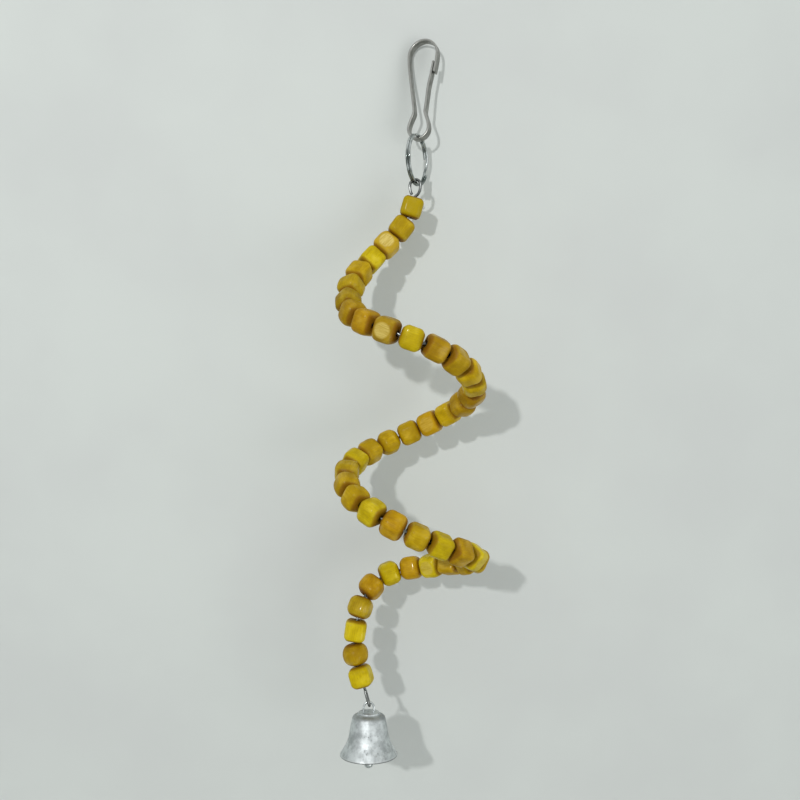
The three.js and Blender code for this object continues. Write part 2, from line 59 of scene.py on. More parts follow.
# Clip of flat strip, in millimetres from its hanging seat
STRIP_THICKNESS = 0.9
STRIP_WIDTH = 4.0
STRIP_EDGE = 0.22
STRIP_END_EASE = 0.16
STRIP_FACES_APART = 3.0
CLIP_INNER_HEIGHT = 45.0
CLIP_TOP_RADIUS = 6.8
CLIP_TOP_FACETS = 9
CLIP_WAIST_HALF_WIDTH = 2.65
CLIP_WAIST_DROP = 33.0
CLIP_BULB_RADIUS = 4.8
CLIP_TIP_DROP = 15.3
GATE_START = math.radians(-35)
GATE_END_DROP = 9.6
GATE_INSET = 1.2
LEG_BEND = 7.0
WAIST_BEND = 3.0
CLIP_TURN = math.radians(-24)

# Split ring
RING_RADIUS = 11.05
RING_WIRE = 1.1
RING_TURN_PITCH = 1.17
RING_CLIMB = 40.0
RING_CENTRE_DROP = 54.941
RING_STEPS = 260
RING_SIDES = 18

# Spiral wire and its eyes, each as wide and as high as given
WIRE = 1.3
WIRE_SIDES = 16
WIRE_STEPS_PER_BEAD = 14
UPPER_EYE = (5.2, 7.4)
LOWER_EYE = (3.4, 7.9)
EYE_FLARE = 30.0
EYE_OPENING = 36.0
EYE_GAP = 0.3
EYE_STEPS = 48
RING_RISE_IN_EYE = 0.78
WIRE_JOINS = (11, 20, 29)
LAST_BEAD_OF_SECTION = (6, 15, 24, 33)

# Beads
BEAD_COUNT = 43
BEAD_SEED = 43
BEAD_WIDTH = 9.7
BEAD_SOLID_LENGTH = 9.0
BEAD_LONGEST = 10.45
BEAD_TOUCH = 0.16
BEAD_EDGE_CUT = 1.5
BEAD_END_CUT = 1.5
BEAD_CORNER_CUT = 2.9
BEAD_END_FLAT = 2.6
BEAD_CRISPNESS = 22.0
BEAD_UNEVENNESS = 0.22
BEAD_BORE = 2.8

# What a rounder bead gains, and the flat that is left of its ends
ROUND_BEAD_SWELL = 0.09
ROUND_EDGE_CUT = 0.8
ROUND_END_CUT = 0.6
ROUND_CORNER_CUT = 1.3
ROUND_CRISPNESS = -7.0
ROUND_END_FLAT = 2.0

# A bead's mesh: the share of its rows that lie on the outside, and how near its corners are welded
BEAD_COLUMNS = 72
BEAD_ROWS = 56
BEAD_OUTSIDE = 0.86
BEAD_WELD = 0.03

# Single beads by number: how far each is sanded bare, rounded, freshly dyed, or lighter than its dye
SANDED_BEADS = {3: 1.0, 10: 0.75, 32: 0.35, 36: 0.4, 19: 0.25, 35: 0.2}
ROUNDER_BEADS = {
    2: 0.5, 3: 0.8, 5: 0.5, 6: 0.8, 7: 0.9, 8: 0.9, 9: 0.6, 10: 0.5, 14: 0.4, 15: 0.6, 16: 0.7, 17: 0.8,
    18: 0.6, 19: 0.6, 20: 0.9, 21: 1.0, 22: 1.0, 23: 0.7, 24: 0.9, 25: 1.0, 26: 0.9, 27: 0.9, 28: 0.5,
    29: 0.4, 33: 0.4, 36: 0.4, 37: 0.6, 38: 0.9, 39: 1.0, 40: 1.0, 42: 1.5,
}
FRESHER_BEADS = {2: 0.7, 5: 0.5, 8: 0.2, 13: 0.4, 14: 0.5, 15: 0.6, 29: 0.4, 42: 0.3}
LIGHTER_BEADS = {
    1: -0.8, 2: -0.3, 3: 0.2, 5: -0.2, 7: -0.2, 8: -0.3, 9: -0.1, 10: -0.4, 12: -0.1, 16: -0.3, 20: -0.2,
    24: 0.2, 25: -0.3, 27: -0.2, 32: 0.3, 37: 0.2,
}

# How the faces of a bead's solid are told apart: cosines, and the share of the widest side that makes a side
SAME_FACE = 0.9995
END_FACE = 0.85
SIDE_FACE = 0.05
WIDE_SIDE = 0.9

# Bell, from its rim up: its lines are pairs of radius and height
BELL_WALL_LINE = ((12.9, 0.35), (11.975, 2.0), (10.532, 4.4), (9.2, 7.6), (8.4, 12.0), (7.6, 16.0))
BELL_SHOULDER_LINE = ((7.6, 16.0), (7.15, 17.0), (6.2, 17.7), (5.05, 18.1))
BELL_RIM_ROUND = 0.35
BELL_CAP_RADIUS = 4.8
BELL_CAP_TOP = 18.9
BELL_CAP_STEP = 0.8
BELL_CAP_ROUND = 0.3
BELL_CAP_FILLET = 0.05
BELL_WALL = 0.7
BELL_LEAN = math.radians(3.7)
BELL_SEGMENTS = 96
STAPLE_WIRE = 1.0
STAPLE_HALF_WIDTH = 2.3
STAPLE_TOP = 23.1
STAPLE_BOTTOM = 14.9
STAPLE_GAP = 0.3
STAPLE_PIVOT_RISE = 1.45

# Clapper, from its lower end up
CLAPPER_WIRE = 0.8
CLAPPER_EYE = 2.8
CLAPPER_STEM = 11.0
CLAPPER_LENGTH = 9.6
CLAPPER_LINE = ((0, 0), (1.7, 0.9), (2.1, 2.7), (1.4, 6.3), (1.05, CLAPPER_LENGTH))
CLAPPER_SOCKET = 2.0
CLAPPER_SOCKET_RADIUS = 0.7
CLAPPER_SEGMENTS = 48

# Stage, in metres: a leaning backdrop that meets a floor, the lamps and the even light
BACKDROP_LEAN = 0.2
BACKDROP_GAP = 0.0048
FLOOR_Z = -1.1
STAGE_HALF = 2.5
LIT_PLACE = (0.0, 0.0, -0.17)
LAMPS = {
    "key": {"place": (-0.32, -0.88, -0.02), "width": 0.03, "watts": 3.3},
    "ceiling": {"place": (0.3, -0.7, 1.2), "width": 1.2, "watts": 2.0},
    "window": {"place": (1.0, -1.0, -0.6), "width": 0.9, "watts": 4.2},
}
EVEN_LIGHT_TINT = (0.97, 1.0, 0.99, 1.0)
EVEN_LIGHT = 0.66

# Camera: its place in millimetres, two of its directions and its lens
CAMERA_PLACE = (-9.25, -379.31, -192.85)
CAMERA_RIGHT = (0.9976, -0.0271, 0.0641)
CAMERA_FORWARD = (0.0222, 0.9969, 0.0756)
CAMERA_SENSOR = 36.0
CAMERA_LENS = 38.7
CAMERA_NEAREST = 0.01
CAMERA_FARTHEST = 20.0


def tone(red, green, blue):
    """A colour given as it looks on a screen, 0 to 255, in the linear values that materials take."""
    parts = [c / 255 for c in (red, green, blue)]
    return tuple(c / 12.92 if c <= 0.04045 else ((c + 0.055) / 1.055) ** 2.4 for c in parts) + (1.0,)


class Sum:
    """One socket of a node tree, so that node maths is written as plain sums."""

    def __init__(self, nodes, socket):
        self.nodes = nodes
        self.socket = socket

    def maths(self, operation, *values):
        return self.nodes.add("ShaderNodeMath", {"operation": operation}, dict(enumerate(values)))

    def __add__(self, other):
        return self.maths("ADD", self, other)

    def __radd__(self, other):
        return self.maths("ADD", other, self)

    def __sub__(self, other):
        return self.maths("SUBTRACT", self, other)

    def __rsub__(self, other):
        return self.maths("SUBTRACT", other, self)

    def __mul__(self, other):
        return self.maths("MULTIPLY", self, other)

    def __rmul__(self, other):
        return self.maths("MULTIPLY", other, self)

    def __truediv__(self, other):
        return self.maths("DIVIDE", self, other)

    def __rtruediv__(self, other):
        return self.maths("DIVIDE", other, self)

    def __pow__(self, other):
        return self.maths("POWER", self, other)

    def __abs__(self):
        return self.maths("ABSOLUTE", self)

    def larger(self, other):
        return self.maths("MAXIMUM", self, other)

    def smaller(self, other):
        return self.maths("MINIMUM", self, other)

    def sine(self):
        return self.maths("SINE", self)

    def cosine(self):
        return self.maths("COSINE", self)

    def step(self, low, high):
        """0 up to the low value, 1 from the high value on, and smooth between them."""
        sockets = {"Value": self, "From Min": low, "From Max": high}
        return self.nodes.add("ShaderNodeMapRange", {"interpolation_type": "SMOOTHSTEP"}, sockets)

    def parts(self):
        split = self.nodes.add("ShaderNodeSeparateXYZ", {}, {0: self})
        return [Sum(self.nodes, output) for output in split.socket.node.outputs]


class Nodes:
    """A node tree in the making. add() places any node: its settings first, then its sockets."""

    def __init__(self, tree):
        self.tree = tree

    def add(self, kind, settings, sockets, out=0):
        node = self.tree.nodes.new(kind)
        for name, value in settings.items():
            setattr(node, name, value)
        for name, value in sockets.items():
            if isinstance(value, Sum):
                self.tree.links.new(value.socket, node.inputs[name])
            else:
                node.inputs[name].default_value = value
        return Sum(self, node.outputs[out]) if node.outputs else None

    def vector(self, x, y, z):
        return self.add("ShaderNodeCombineXYZ", {}, {0: x, 1: y, 2: z})

    def mixed(self, share, first, second):
        return self.add("ShaderNodeMix", {"data_type": "RGBA"}, {0: share, 6: first, 7: second}, out=2)

    def noise(self, place, scale, detail=2.0, roughness=0.5):
        sockets = {"Vector": place, "Scale": scale, "Detail": detail, "Roughness": roughness}
        return self.add("ShaderNodeTexNoise", {}, sockets)

    def bump(self, height, depth, strength):
        """A bumpy surface, with its depth in millimetres."""
        sockets = {"Height": height, "Distance": depth * MM, "Strength": strength}
        return self.add("ShaderNodeBump", {}, sockets)

    def attribute(self, name, out):
        return self.add("ShaderNodeAttribute", {"attribute_name": name}, {}, out=out)

    def place_in_mm(self):
        place = self.add("ShaderNodeTexCoord", {}, {}, out="Object")
        return self.add("ShaderNodeVectorMath", {"operation": "SCALE"}, {0: place, "Scale": 1 / MM})


def new_material(name):
    """An empty material, with the node tree that it is made in."""
    made = bpy.data.materials.new(name)
    made.use_nodes = True
    made.node_tree.nodes.clear()
    return made, Nodes(made.node_tree)


def finish(name, paint, **even):
    """A material. paint(nodes) gives what varies over the surface, and the even values are plain numbers."""
    made, nodes = new_material(name)
    shader = nodes.add("ShaderNodeBsdfPrincipled", {}, {**even, **paint(nodes)})
    nodes.add("ShaderNodeOutputMaterial", {}, {"Surface": shader})
    return made


FRESH_DEEP = tone(168, 138, 0)
FRESH_BRIGHT = tone(210, 180, 8)
BARE_WOOD = tone(186, 158, 66)
BARE_STREAK = tone(214, 192, 108)
# End grain: dye pooled in it, darkened further by painted shade where beads meet
END_GRAIN_AND_SHADE = tone(122, 74, 10)
PORE_BROWN = tone(110, 72, 12)
# Painted shade inside the bore
BORE_SHADE = tone(84, 46, 10)


def dyed_wood(name, deep, bright):
    """Dyed bead wood: fibres along the bore, ends darkened by dye pooled in the end grain and by painted shade
    where beads meet, painted shade in the bore, and a front face sanded bare on some beads.
    """

    def paint(nodes):
        x, y, z = nodes.attribute("grain", "Vector").parts()
        batch = nodes.attribute("batch", "Fac")
        sanded = nodes.attribute("sanded", "Fac")
        fresh = nodes.attribute("fresh", "Fac")
        lighter = nodes.attribute("lighter", "Fac")
        drawn_out = nodes.vector(x * 2.1 + batch * 31, y * 2.1 + batch * 17, z * 0.22 + batch * 7)
        fibres = nodes.noise(drawn_out, 1.0, 4.0, 0.62)
        even = nodes.vector(x + batch * 13, y + batch * 29, z + batch * 5)
        patches = nodes.noise(even, 0.2, 2.0)
        thin = nodes.vector(x * 6 + batch * 3, y * 6, z * 0.8 + batch)
        pores = nodes.noise(thin, 1.0, 2.0).step(0.62, 0.74)
        varied = 0.5 + (fibres - 0.5) * 0.7 + (patches - 0.5) * 1.3 + (batch - 0.5) * 0.4
        shade = (varied + lighter).step(0.05, 0.95)
        colour = nodes.mixed(shade, deep, bright)
        colour = nodes.mixed(fresh, colour, nodes.mixed(shade, FRESH_DEEP, FRESH_BRIGHT))
        ragged = (y * y + z * z) ** 0.5 + (fibres - 0.5) * 1.0 + (patches - 0.5) * 1.4
        face = x.step(3.7, 4.2) * (1 - ragged.step(2.7, 3.7))
        streaked = nodes.mixed(fibres.step(0.3, 0.65), BARE_WOOD, BARE_STREAK)
        colour = nodes.mixed(face * sanded, colour, streaked)
        # The ends: darker with dye pooled in the end grain, and with painted shade where beads meet
        ends = abs(z).step(3.5, 4.5)
        colour = nodes.mixed(ends * 0.7, colour, END_GRAIN_AND_SHADE)
        colour = nodes.mixed(pores * 0.35, colour, PORE_BROWN)
        # Painted shade down the bore and round its mouth
        bore = 1 - ((x * x + y * y) ** 0.5).step(1.15, 1.7)
        colour = nodes.mixed(bore, colour, BORE_SHADE)
        height = fibres * 0.6 + patches * 0.6 - pores * 0.8
        return {
            "Base Color": colour,
            "Roughness": 0.4 + fibres * 0.16 + ends * 0.2 + face * sanded * 0.12,
            "Coat Weight": 0.05 + patches.step(0.47, 0.66) * 0.5,
            "Normal": nodes.bump(height, 0.08, 0.6),
        }

    return finish(name, paint, **{"Coat Roughness": 0.14, "Specular IOR Level": 0.11})


def strip_steel(nodes):
    """Plated strip: fine lines along it, cloudy plating and brighter worn edges."""
    along, across, face = nodes.attribute("strip", "Vector").parts()
    lines = nodes.noise(nodes.vector(along * 0.12, across * 9, face), 1.0, 3.0, 0.7)
    cloud = nodes.noise(nodes.vector(along * 0.3, across * 0.5, face), 1.0, 3.0)
    worn = abs(across).step(1.55, 1.9)
    specks = nodes.noise(nodes.vector(along * 2.2, across * 2.2, face), 1.0, 2.0).step(0.64, 0.74)
    colour = nodes.mixed(cloud.step(0.3, 0.7), tone(118, 118, 113), tone(158, 158, 153))
    colour = nodes.mixed(worn * 0.5, colour, tone(196, 196, 192))
    colour = nodes.mixed(specks * 0.5, colour, tone(84, 80, 74))
    return {
        "Base Color": colour,
        "Roughness": 0.26 + lines * 0.16 + specks * 0.2 - worn * 0.06,
        "Normal": nodes.bump(lines - specks, 0.02, 0.5),
    }


def ring_steel(nodes):
    """Bright plated ring wire with faint handling marks, and dark and bright patches painted in as reflections in
    its chrome.
    """
    place = nodes.place_in_mm()
    cloud = nodes.noise(place, 0.16, 2.0)
    marks = nodes.noise(place, 4.0, 3.0, 0.7)
    return {
        # Dark and bright patches: painted reflections in the chrome
        "Base Color": nodes.mixed(cloud.step(0.4, 0.62), tone(100, 108, 105), tone(188, 193, 192)),
        "Roughness": 0.08 + marks * 0.14,
        "Normal": nodes.bump(marks, 0.01, 0.5),
    }


def spring_wire(nodes):
    """Bare drawn wire: die lines along its length and a little grey oxide."""
    along = nodes.attribute("along", "Fac")
    place = nodes.place_in_mm()
    x, y, z = place.parts()
    lines = nodes.noise(nodes.vector(x * 2.6, y * 2.6, z * 2.6 + along * 20), 1.0, 3.0, 0.7)
    oxide = nodes.noise(place, 0.35, 3.0)
    return {
        "Base Color": nodes.mixed(oxide.step(0.3, 0.7), tone(84, 87, 86), tone(148, 150, 148)),
        "Roughness": 0.2 + lines * 0.2,
        "Normal": nodes.bump(lines, 0.01, 0.5),
    }


def bell_metal(nodes):
    """Cheap plated bell metal: cloudy, pitted, dented, with faint turned lines, a brighter rubbed rim, a painted
    dark reflection on the shoulder below the cap and a painted dark reflection along the rim's edge.
    """
    place = nodes.place_in_mm()
    height = nodes.attribute("height", "Fac")
    cloud = nodes.noise(place, 0.22, 4.0, 0.62)
    fine = nodes.noise(place, 1.4, 3.0, 0.6)
    dents = nodes.noise(place, 0.24, 1.0)
    pits = nodes.add("ShaderNodeTexVoronoi", {}, {"Vector": place, "Scale": 0.85, "Randomness": 1.0})
    pitted = (1 - pits.step(0.12, 0.42)) * fine.step(0.46, 0.62) * (1 - cloud.step(0.44, 0.58))
    lines = nodes.noise(nodes.vector(height * 3.2, 0.0, 0.0), 1.0, 3.0, 0.7)
    rubbed = 1 - height.step(0.3, 1.4)
    # A painted dark reflection along the rim's lowest edge
    edge = 1 - height.step(0.25, 0.65)
    # A painted dark reflection on the shoulder just below the cap
    dark_reflection_under_cap = height.step(15.8, 16.9) * (1 - height.step(17.8, 18.1))
    colour = nodes.mixed(cloud.step(0.34, 0.66), tone(178, 183, 184), tone(218, 223, 224))
    colour = nodes.mixed(pitted * 0.45, colour, tone(128, 129, 128))
    colour = nodes.mixed(rubbed * 0.5, colour, tone(228, 232, 232))
    colour = nodes.mixed(dark_reflection_under_cap * 0.5, colour, tone(134, 137, 137))
    colour = nodes.mixed(edge * 0.8, colour, tone(92, 94, 94))
    return {
        "Base Color": colour,
        "Roughness": 0.46 + fine * 0.16 + pitted * 0.2 - rubbed * 0.12,
        "Normal": nodes.bump(dents * 5 + lines * 0.3 + fine * 0.4 - pitted * 1.2, 0.12, 0.6),
    }


def bell_wire(nodes):
    """Bright plated wire of the bell's loop and its clapper."""
    marks = nodes.noise(nodes.place_in_mm(), 1.1, 3.0, 0.6)
    return {
        "Base Color": nodes.mixed(marks.step(0.3, 0.7), tone(180, 185, 185), tone(224, 228, 228)),
        "Roughness": 0.26 + marks * 0.14,
    }


STRIP_FINISH = finish("plated_strip", strip_steel, Metallic=1.0)
RING_FINISH = finish("bright_ring_wire", ring_steel, Metallic=1.0)
WIRE_FINISH = finish("drawn_spring_wire", spring_wire, Metallic=1.0)
BELL_FINISH = finish("pitted_bell_metal", bell_metal, Metallic=1.0)
LOOP_FINISH = finish("plated_bell_wire", bell_wire, Metallic=1.0)

# Each dye's deepest and brightest tone, and the beads' dyes from the top down
DYE_TONES = {
    "lemon": (tone(170, 145, 0), tone(212, 189, 10)),
    "ochre": (tone(146, 110, 2), tone(192, 155, 10)),
    "mustard": (tone(160, 128, 2), tone(204, 170, 10)),
    "amber": (tone(154, 113, 2), tone(195, 154, 6)),
    "olive": (tone(138, 110, 4), tone(186, 157, 14)),
    "pale": (tone(150, 118, 10), tone(194, 160, 34)),
}
WOODS = {dye + "_wood": dyed_wood(dye + "_dyed_wood", *tones) for dye, tones in DYE_TONES.items()}
DYES = (
    "lemon olive pale lemon ochre olive olive ochre amber pale lemon "
    "ochre ochre ochre olive ochre ochre mustard amber mustard mustard mustard "
    "lemon olive mustard mustard lemon amber mustard lemon ochre lemon mustard "
    "ochre ochre lemon amber lemon amber olive lemon ochre lemon"
).split()


def new_tree(name, inputs):
    """An empty Geometry Nodes tree with named inputs, as (nodes, the inputs by name)."""
    tree = bpy.data.node_groups.new(name, "GeometryNodeTree")
    tree.interface.new_socket("Geometry", in_out="OUTPUT", socket_type="NodeSocketGeometry")
    for label, kind in inputs.items():
        tree.interface.new_socket(label, in_out="INPUT", socket_type=kind)
    nodes = Nodes(tree)
    entry = tree.nodes.new("NodeGroupInput")
    return nodes, {label: Sum(nodes, entry.outputs[label]) for label in inputs}


def end_tree(nodes, shape, material):
    """Closes a tree: realized, with its material set."""
    real = nodes.add("GeometryNodeRealizeInstances", {}, {0: shape})
    done = nodes.add("GeometryNodeSetMaterial", {}, {"Geometry": real, "Material": material})
    nodes.add("NodeGroupOutput", {}, {0: done})
    return nodes.tree


def bead_tree():
    """One bead: a cube with planed edges and corners, drilled along its length, set on the wire."""
    nodes, size = new_tree("planed_bead", {
        "Width": "NodeSocketFloat",
        "Length": "NodeSocketFloat",
        "Edge Cut": "NodeSocketFloat",
        "End Cut": "NodeSocketFloat",
        "Corner Cut": "NodeSocketFloat",
        "Crispness": "NodeSocketFloat",
        "Bore": "NodeSocketFloat",
        "Unevenness": "NodeSocketFloat",
        "Seed": "NodeSocketFloat",
        "Sanded": "NodeSocketFloat",
        "Fresh": "NodeSocketFloat",
        "Lighter": "NodeSocketFloat",
        "Centre": "NodeSocketVector",
        "Front": "NodeSocketVector",
        "Along": "NodeSocketVector",
        "Finish": "NodeSocketMaterial",
    })
    # A flat sheet is wrapped round the bead: its first rows over the outside, its last rows up the bore
    sheet = nodes.add("GeometryNodeMeshGrid", {}, {
        "Size X": 1.0, "Size Y": 1.0, "Vertices X": BEAD_COLUMNS + 1, "Vertices Y": BEAD_ROWS + 1,
    })
    u, v, _ = nodes.add("GeometryNodeInputPosition", {}, {}).parts()
    turn = (u + 0.5) * (2 * math.pi)
    down = v + 0.5
    half = size["Width"] / 2
    end = size["Length"] / 2
    bore = size["Bore"] / 2
    first = bore.maths("ARCTAN2", bore, end)
    polar = first + (math.pi - 2 * first) * (down / BEAD_OUTSIDE).smaller(1.0)
    level = polar.sine()
    x = level * turn.cosine()
    y = level * turn.sine()
    z = polar.cosine()
    power = size["Crispness"]
    planes = (
        (abs(x) / half) ** power
        + (abs(y) / half) ** power
        + (abs(z) / end) ** power
        + ((abs(x) + abs(y)) / (half + half - size["Edge Cut"])) ** power
        + ((abs(x) + abs(z)) / (half + end - size["End Cut"])) ** power
        + ((abs(y) + abs(z)) / (half + end - size["End Cut"])) ** power
        + ((abs(x) + abs(y) + abs(z)) / (half + half + end - size["Corner Cut"])) ** power
    )
    lumps = nodes.noise(nodes.vector(x, y, z + size["Seed"] * 9), 1.6, 2.0) - 0.5
    reach = planes ** (-1 / power) + lumps * size["Unevenness"] * level
    climbed = ((down - BEAD_OUTSIDE) / (1 - BEAD_OUTSIDE)).larger(0.0)
    in_bore = down.maths("GREATER_THAN", down, BEAD_OUTSIDE + 0.001)
    outside_place = nodes.vector(reach * x, reach * y, reach * z)
    bore_place = nodes.vector(bore * turn.cosine(), bore * turn.sine(), (climbed * 2 - 1) * end)
    moved = nodes.add(
        "ShaderNodeMix", {"data_type": "VECTOR"}, {0: in_bore, 4: outside_place, 5: bore_place}, out=1,
    )
    shaped = nodes.add("GeometryNodeSetPosition", {}, {"Geometry": sheet, "Position": moved})
    closed = nodes.add("GeometryNodeMergeByDistance", {}, {"Geometry": shaped, "Distance": BEAD_WELD})
    local = nodes.add("GeometryNodeInputPosition", {}, {})
    kept = nodes.add("GeometryNodeStoreNamedAttribute", {"data_type": "FLOAT_VECTOR", "domain": "POINT"}, {
        "Geometry": closed, "Name": "grain", "Value": local,
    })
    marks = {"batch": "Seed", "sanded": "Sanded", "fresh": "Fresh", "lighter": "Lighter"}
    for label, source in marks.items():
        kept = nodes.add("GeometryNodeStoreNamedAttribute", {"data_type": "FLOAT", "domain": "POINT"}, {
            "Geometry": kept, "Name": label, "Value": size[source],
        })
    smooth = nodes.add("GeometryNodeSetShadeSmooth", {}, {"Geometry": kept})
    settings = {"primary_axis": "Z", "secondary_axis": "X"}
    turned = nodes.add("FunctionNodeAxesToRotation", settings, {
        "Primary Axis": size["Along"], "Secondary Axis": size["Front"],
    })
    spot = nodes.add("GeometryNodePoints", {}, {"Count": 1, "Position": size["Centre"]})
    set_on = nodes.add("GeometryNodeInstanceOnPoints", {}, {
        "Points": spot, "Instance": smooth, "Rotation": turned, "Scale": (MM, MM, MM),
    })
    return end_tree(nodes, set_on, size["Finish"])


def wire_tree():
    """Round wire along the curve that it is put on."""
    nodes, size = new_tree("round_wire", {
        "Line": "NodeSocketGeometry",
        "Diameter": "NodeSocketFloat",
        "Sides": "NodeSocketInt",
        "Finish": "NodeSocketMaterial",
    })
    along = nodes.add("GeometryNodeSplineParameter", {}, {}, out="Length")
    marked = nodes.add("GeometryNodeStoreNamedAttribute", {"data_type": "FLOAT", "domain": "POINT"}, {
        "Geometry": size["Line"], "Name": "along", "Value": along,
    })
    round_section = nodes.add("GeometryNodeCurvePrimitiveCircle", {}, {
        "Resolution": size["Sides"], "Radius": size["Diameter"] / 2,
    })
    tube = nodes.add("GeometryNodeCurveToMesh", {}, {
        "Curve": marked, "Profile Curve": round_section, "Fill Caps": True,
    })
    smooth = nodes.add("GeometryNodeSetShadeSmooth", {}, {"Geometry": tube})
    return end_tree(nodes, smooth, size["Finish"])


BEAD_TREE = bead_tree()
WIRE_TREE = wire_tree()


def placed(name, mesh):
    """A new object at the origin with this mesh."""
    mesh.name = name
    piece = bpy.data.objects.new(name, mesh)
    bpy.context.scene.collection.objects.link(piece)
    return piece


def grown(name, data, tree, values):
    """The plain mesh that a tree makes on an object, as a new object at the origin."""
    holder = bpy.data.objects.new(name + "_holder", data)
    bpy.context.scene.collection.objects.link(holder)
    modifier = holder.modifiers.new("shape", "NODES")
    modifier.node_group = tree
    sockets = {item.name: item.identifier for item in tree.interface.items_tree if item.in_out == "INPUT"}
    for label, value in values.items():
        modifier[sockets[label]] = value
    bpy.context.view_layer.update()
    ready = holder.evaluated_get(bpy.context.evaluated_depsgraph_get())
    mesh = bpy.data.meshes.new_from_object(ready)
    holder.modifiers.clear()
    bpy.data.objects.remove(holder)
    return placed(name, mesh)


def wire_piece(name, points, diameter, material, sides=WIRE_SIDES):
    """Round wire through a list of points in metres."""
    line = bpy.data.curves.new(name + "_line", "CURVE")
    line.dimensions = "3D"
    spline = line.splines.new("POLY")
    spline.points.add(len(points) - 1)
    for point, place in zip(spline.points, points):
        point.co = (*place, 1.0)
    values = {"Diameter": diameter * MM, "Sides": sides, "Finish": material}
    return grown(name, line, WIRE_TREE, values)


def mesh_piece(name, points, faces, material, **marks):
    """A mesh from its points in metres, smooth but for its sharp edges, with marks on its points."""
    mesh = bpy.data.meshes.new(name)
    mesh.from_pydata([tuple(p) for p in points], [], [tuple(f) for f in faces])
    mesh.materials.append(material)
    for label, values in marks.items():
        values = np.asarray(values, np.float32)
        if values.ndim == 1:
            mesh.attributes.new(label, "FLOAT", "POINT").data.foreach_set("value", values)
        else:
            mesh.attributes.new(label, "FLOAT_VECTOR", "POINT").data.foreach_set("vector", values.ravel())
    mesh.validate()
    mesh.shade_smooth()
    mesh.set_sharp_from_angle(angle=SHARP_ANGLE)
    mesh.update()
    return placed(name, mesh)


def arc(centre_y, radius, start, stop, count):
    """Points on an arc about a centre on the upright axis."""
    angles = np.linspace(start, stop, count + 1)
    return np.stack([radius * np.cos(angles), centre_y + radius * np.sin(angles)], 1)


def bend(start, start_handle, stop, stop_handle, count):
    """A cubic bend between two upright directions."""
    t = np.linspace(0, 1, count + 1)[:, None]
    a = np.array(start)
    d = np.array(stop)
    b = a + (0, start_handle)
    c = d + (0, stop_handle)
    return (1 - t) ** 3 * a + 3 * t * (1 - t) ** 2 * b + 3 * t**2 * (1 - t) * c + t**3 * d


def eased(value, low, high):
    """0 up to the low value, 1 from the high value on, and smooth between them."""
    t = np.clip((value - low) / (high - low), 0, 1)
    return t * t * (3 - 2 * t)


def through(corners, count):
    """A smooth line through a few corners, evenly parted between them."""
    corners = np.array(corners, float)
    padded = np.vstack([2 * corners[0] - corners[1], corners, 2 * corners[-1] - corners[-2]])
    places = []
    for i in range(len(corners) - 1):
        p0, p1, p2, p3 = padded[i:i + 4]
        for t in np.linspace(0, 1, count, endpoint=False):
            places.append(
                0.5 * (2 * p1 + (p2 - p0) * t + (2 * p0 - 5 * p1 + 4 * p2 - p3) * t**2
                       + (3 * p1 - p0 - 3 * p2 + p3) * t**3)
            )
    return np.array([*places, corners[-1]])


CLIP_RIGHT = np.array([math.cos(CLIP_TURN), math.sin(CLIP_TURN), 0])
CLIP_BACK = np.array([-math.sin(CLIP_TURN), math.cos(CLIP_TURN), 0])
UP = np.array([0, 0, 1.0])


def strip_section():
    """The strip's cross section with rounded edges, as pairs across its thickness and its width."""
    t = STRIP_THICKNESS / 2 - STRIP_EDGE
    w = STRIP_WIDTH / 2 - STRIP_EDGE
    section = []
    for side, edge, start in ((1, 1, 0), (-1, 1, 90), (-1, -1, 180), (1, -1, 270)):
        for a in np.radians(start + np.linspace(0, 90, 5)):
            section.append((side * t + STRIP_EDGE * math.cos(a), edge * w + STRIP_EDGE * math.sin(a)))
    return section


def strip_piece(name, line, material):
    """Flat strip along a line in the clip's plane, with eased corners at its far end."""
    line = line[np.r_[True, np.linalg.norm(np.diff(line, axis=0), axis=1) > 1e-4]]
    along = np.gradient(line, axis=0)
    along /= np.linalg.norm(along, axis=1)[:, None]
    travelled = np.r_[0, np.cumsum(np.linalg.norm(np.diff(line, axis=0), axis=1))]
    stations = [(line[i], along[i], travelled[i], 0.0) for i in range(len(line))]
    before_end = line[-1] - along[-1] * STRIP_END_EASE
    stations[-1] = (before_end, along[-1], travelled[-1] - STRIP_END_EASE, 0.0)
    stations.append((line[-1], along[-1], travelled[-1], STRIP_END_EASE))
    section = strip_section()
    points = []
    marks = []
    for centre, direction, distance, pull in stations:
        normal = np.array([-direction[1], direction[0]])
        for a, b in section:
            a -= math.copysign(pull, a)
            b -= math.copysign(pull, b)
            flat = centre + normal * a
            points.append((CLIP_RIGHT * flat[0] + UP * flat[1] + CLIP_BACK * b) * MM)
            marks.append((distance, b, math.copysign(STRIP_FACES_APART, a)))
    n = len(section)
    faces = []
    for i in range(len(stations) - 1):
        for k in range(n):
            a = i * n + k
            b = i * n + (k + 1) % n
            faces.append((a, a + n, b + n, b))
    last = (len(stations) - 1) * n
    faces.append(range(n))
    faces.append([last + k for k in reversed(range(n))])
    return mesh_piece(name, points, faces, material, strip=marks)


